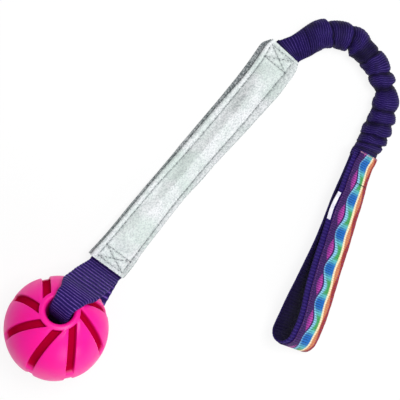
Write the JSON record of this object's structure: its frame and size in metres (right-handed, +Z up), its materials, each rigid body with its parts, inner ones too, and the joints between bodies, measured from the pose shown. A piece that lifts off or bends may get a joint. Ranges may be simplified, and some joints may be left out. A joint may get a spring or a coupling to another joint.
{
  "type": "bungee tug toy",
  "caption": "Tug toy: grooved rubber ball on a webbing loop, padded leather grip, gathered bungee and webbing hand loop.",
  "frame": {"origin": "middle of the footprint of all but the bungee, on the table", "axes": "+X along the grip from the ball to the bungee, +Z up from the table, +Y to the left"},
  "size_m": [0.3021, 0.167, 0.0698],
  "materials": {
    "pink_rubber": "satin",
    "webbing": "ribbed nylon weave",
    "leather": "pale suede",
    "felt": "felt",
    "elastic": "matt",
    "ribbon": "woven jacquard",
    "satin": "satin, bare"
  },
  "bodies": {
    "grip": {"front_leather": "leather", "back_leather": "leather", "core_strap": "webbing", "bite_pad": "felt"},
    "ball_loop": {"ball_loop": "webbing"},
    "ball": {"ball": "pink_rubber"},
    "bungee_core": {"elastic_core": "elastic"},
    "bungee_cover": {"bungee_cover": "webbing"},
    "handle": {"handle_strap": "webbing", "handle_ribbon": "ribbon", "label": "satin"}
  },
  "joints": [
    {"name": "loop_swing", "type": "hinge", "parent": "grip", "child": "ball_loop", "pos_m": [-0.0533, 0.051, 0.00777], "axis": [0, 0.9135, 0.4067], "range_deg": [-85, 28]},
    {"name": "ball_spin", "type": "hinge", "parent": "ball_loop", "child": "ball", "pos_m": [-0.0982, 0.0511, 0.0373], "axis": [0.4636, 0.1417, 0.8746], "continuous": true},
    {"name": "bungee_swing", "type": "hinge", "parent": "grip", "child": "bungee_core", "pos_m": [0.131, 0.0475, 0], "axis": [0, 0, 1], "range_deg": [-8, 90]},
    {"name": "bungee_stretch", "type": "slide", "parent": "bungee_core", "child": "bungee_cover", "axis": [-0.9681, -0.2504, 0], "range_m": [0, 0.06], "stiffness_N_per_m": 600, "deforming": ["bungee_cover", "elastic_core"]},
    {"name": "handle_swing", "type": "hinge", "parent": "bungee_cover", "child": "handle", "pos_m": [0.10811, -0.03338, 0.00973], "axis": [-0.1831, 0.7081, 0.682], "range_deg": [-30, 75]}
  ]
}
